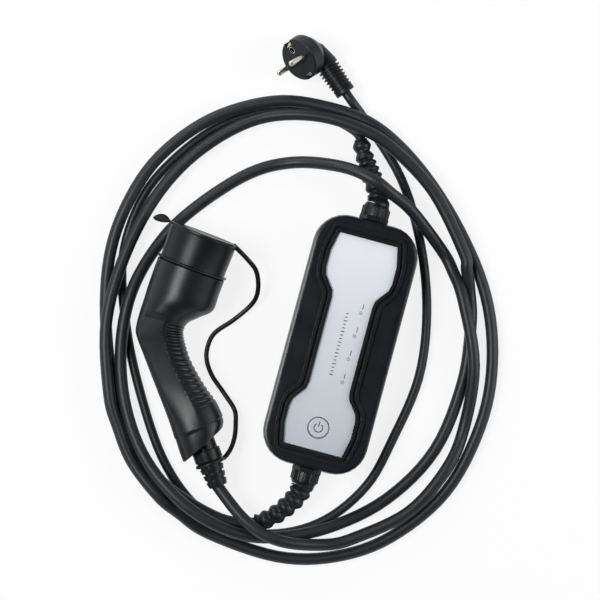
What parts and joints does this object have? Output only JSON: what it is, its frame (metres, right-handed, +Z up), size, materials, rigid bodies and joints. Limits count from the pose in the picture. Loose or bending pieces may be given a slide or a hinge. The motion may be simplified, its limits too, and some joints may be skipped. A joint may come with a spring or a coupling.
{
  "type": "electric car charger",
  "caption": "Portable electric car charger: control box with a satin panel, vehicle connector with a dust cap, looped charging cable and mains lead with an angled plug.",
  "frame": {"origin": "middle of the underside of the control box", "axes": "+Y along the control box towards its mains end, +Z up, +X across the box, away from the vehicle connector"},
  "size_m": [0.3504, 0.4367, 0.0632],
  "materials": {
    "housing": "satin moulded",
    "panel": "satin silver",
    "key": "satin",
    "lens": "clear",
    "grip": "fine texture",
    "soft_rubber": "smooth",
    "cable_jacket": "satin",
    "gland": "moulded",
    "plated": "nickel plated",
    "steel": "zinc plated",
    "board": "lacquered",
    "component": "moulded"
  },
  "bodies": {
    "root": {"box_base": "housing", "box_cover": "housing", "box_seal": "soft_rubber", "front_panel": "panel", "touch_key": "key", "indicator_lenses": "lens", "cover_screws": "steel", "circuit_board": "board", "relays": "component", "residual_current_sensor": "component", "power_supply": "component", "terminal_block": "component", "top_gland_body": "gland", "top_gland_nut": "gland", "bottom_gland_body": "gland", "bottom_gland_nut": "gland", "mains_relief": "soft_rubber", "ev_relief": "soft_rubber", "grip_shell_upper": "grip", "grip_shell_lower": "grip", "nose_sleeve": "grip", "nose_seal": "soft_rubber", "contact_insert": "component", "contact_sleeves": "plated", "insert_screws": "steel", "cable_clamp": "gland", "handle_gland": "gland", "handle_boot": "soft_rubber", "tether_ring": "soft_rubber", "dust_cap": "soft_rubber", "cap_tether": "soft_rubber", "plug_body": "soft_rubber", "live_pin": "plated", "neutral_pin": "plated", "earth_clips": "plated", "earth_socket": "plated", "mains_lead": "cable_jacket", "ev_cable": "cable_jacket"}
  },
  "joints": []
}
